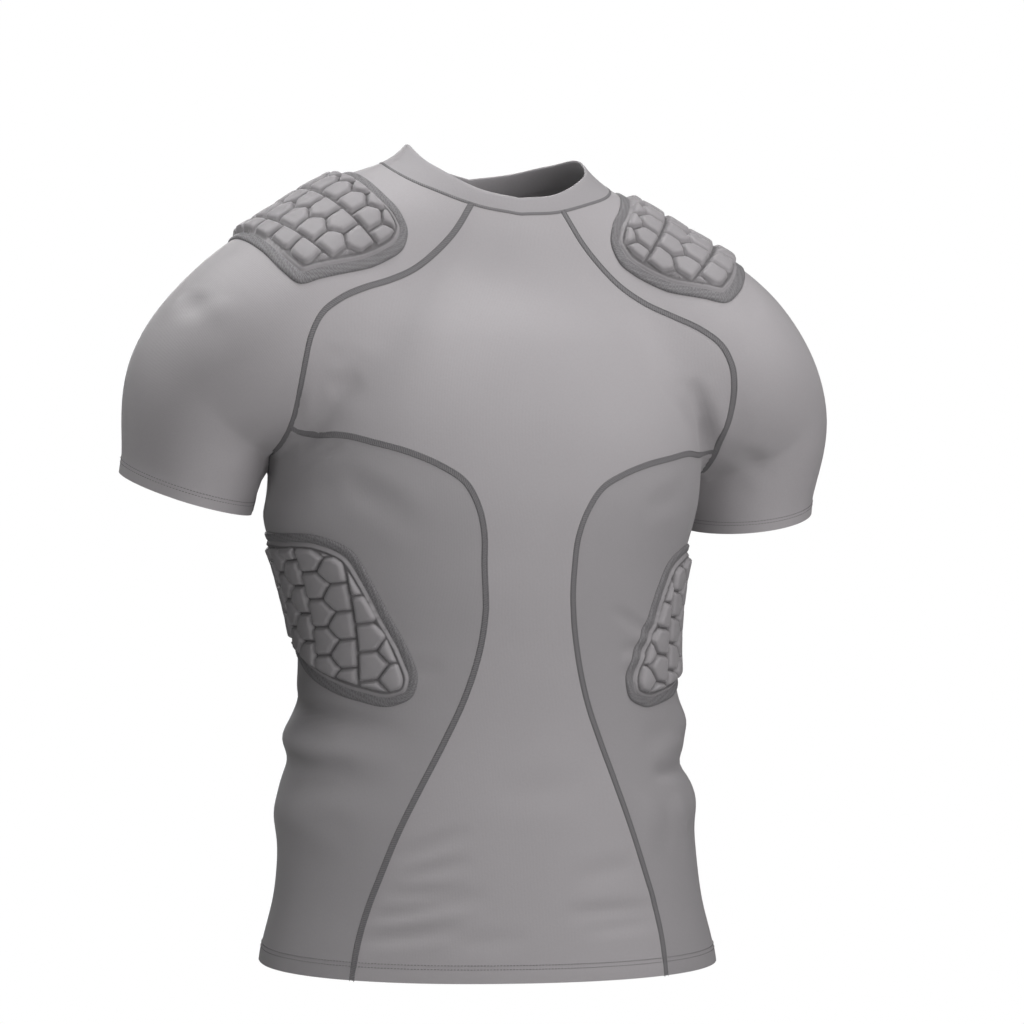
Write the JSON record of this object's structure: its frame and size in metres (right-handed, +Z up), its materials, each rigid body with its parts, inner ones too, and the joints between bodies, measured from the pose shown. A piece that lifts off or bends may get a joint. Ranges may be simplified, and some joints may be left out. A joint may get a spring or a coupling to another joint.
{
  "type": "padded compression shirt",
  "caption": "Short-sleeved padded compression shirt in its worn, hollow form, with raglan sleeves, a crew collar, and celled pads on the shoulders and ribs.",
  "frame": {"origin": "on the shirt's middle plane, level with the inside of the shoulders that hold it up, midway between front and back", "axes": "+Z up, -Y towards the shirt's front, -X towards the wearer's right"},
  "size_m": [0.6281, 0.2532, 0.692],
  "materials": {
    "front_knit": "smooth knit, matte with a faint sheen",
    "back_knit": "smooth knit, matte with a faint sheen",
    "side_knit": "smooth knit, matte with a faint sheen",
    "sleeve_knit": "smooth knit, matte with a faint sheen",
    "collar_knit": "folded knit band, matte",
    "pad_cloth": "foam cells under smooth knit, matte"
  },
  "bodies": {
    "root": {"front_panel": "front_knit", "back_panel": "back_knit", "side_panel_right": "side_knit", "side_panel_left": "side_knit", "sleeve_right": "sleeve_knit", "sleeve_left": "sleeve_knit", "collar": "collar_knit", "shoulder_pad_right": "pad_cloth", "shoulder_pad_left": "pad_cloth", "rib_pad_right": "pad_cloth", "rib_pad_left": "pad_cloth"}
  },
  "joints": []
}
